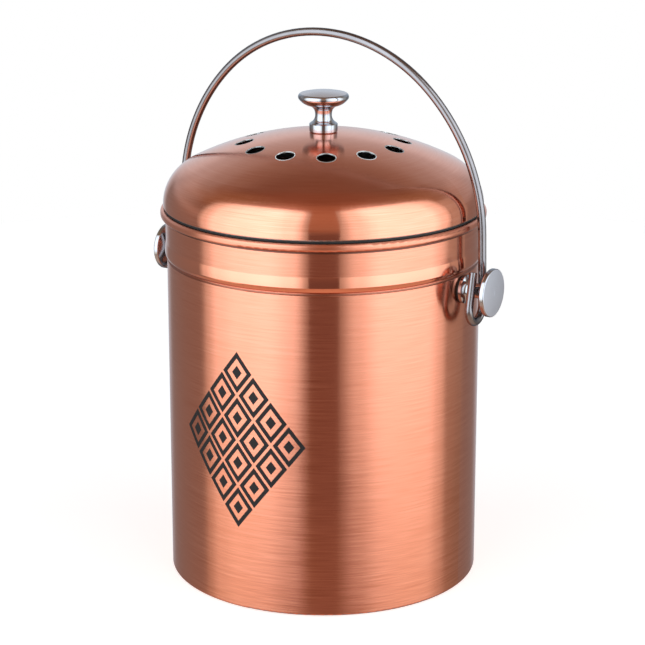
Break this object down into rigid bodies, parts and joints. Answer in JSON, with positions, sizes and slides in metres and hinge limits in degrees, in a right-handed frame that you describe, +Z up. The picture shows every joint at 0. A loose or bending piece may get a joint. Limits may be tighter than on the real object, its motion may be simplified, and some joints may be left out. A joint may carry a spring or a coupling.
{
  "type": "compost bin",
  "caption": "Round countertop compost bin with a brushed copper wall, domed vented lid, filter tray under the lid, turned knob and swinging wire bail handle.",
  "frame": {"origin": "centre of the base, on the surface that the bin stands on", "axes": "+Z up along the bin's axis, X along the two handle pivots, -Y to the front"},
  "size_m": [0.2172, 0.1848, 0.3141],
  "materials": {
    "copper_brushed": "copper-plated, brushed round the axis",
    "plain_steel": "satin",
    "chrome": "satin chrome",
    "black_silicone": "matte",
    "black_plastic": "matte",
    "carbon_felt": "felt",
    "zinc_steel": "zinc-plated"
  },
  "bodies": {
    "bin": {"body_shell": "copper_brushed", "base_pan": "plain_steel", "stud_gasket_right": "black_silicone", "stud_gasket_left": "black_silicone", "stud_collar_right": "chrome", "stud_collar_left": "chrome", "pivot_stud_right": "chrome", "pivot_stud_left": "chrome", "stud_washer_right": "zinc_steel", "stud_washer_left": "zinc_steel", "stud_screw_right": "zinc_steel", "stud_screw_left": "zinc_steel"},
    "bail": {"bail_handle": "chrome"},
    "lid": {"lid_dome": "copper_brushed", "lid_seal": "black_silicone", "lid_ring": "black_plastic", "lid_knob": "chrome", "knob_washer": "zinc_steel", "knob_screw": "zinc_steel"},
    "filter": {"filter_tray": "black_plastic", "charcoal_filter": "carbon_felt"}
  },
  "joints": [
    {"name": "bail_swing", "type": "hinge", "parent": "bin", "child": "bail", "pos_m": [0, 0, 0.1764], "axis": [1, 0, 0], "range_deg": [-136, 136]},
    {"name": "lid_lift", "type": "slide", "parent": "bin", "child": "lid", "axis": [0, 0, 1], "range_m": [0, 0.014]},
    {"name": "filter_tray_pull", "type": "slide", "parent": "lid", "child": "filter", "axis": [0, 0, -1], "range_m": [0, 0.03]}
  ]
}
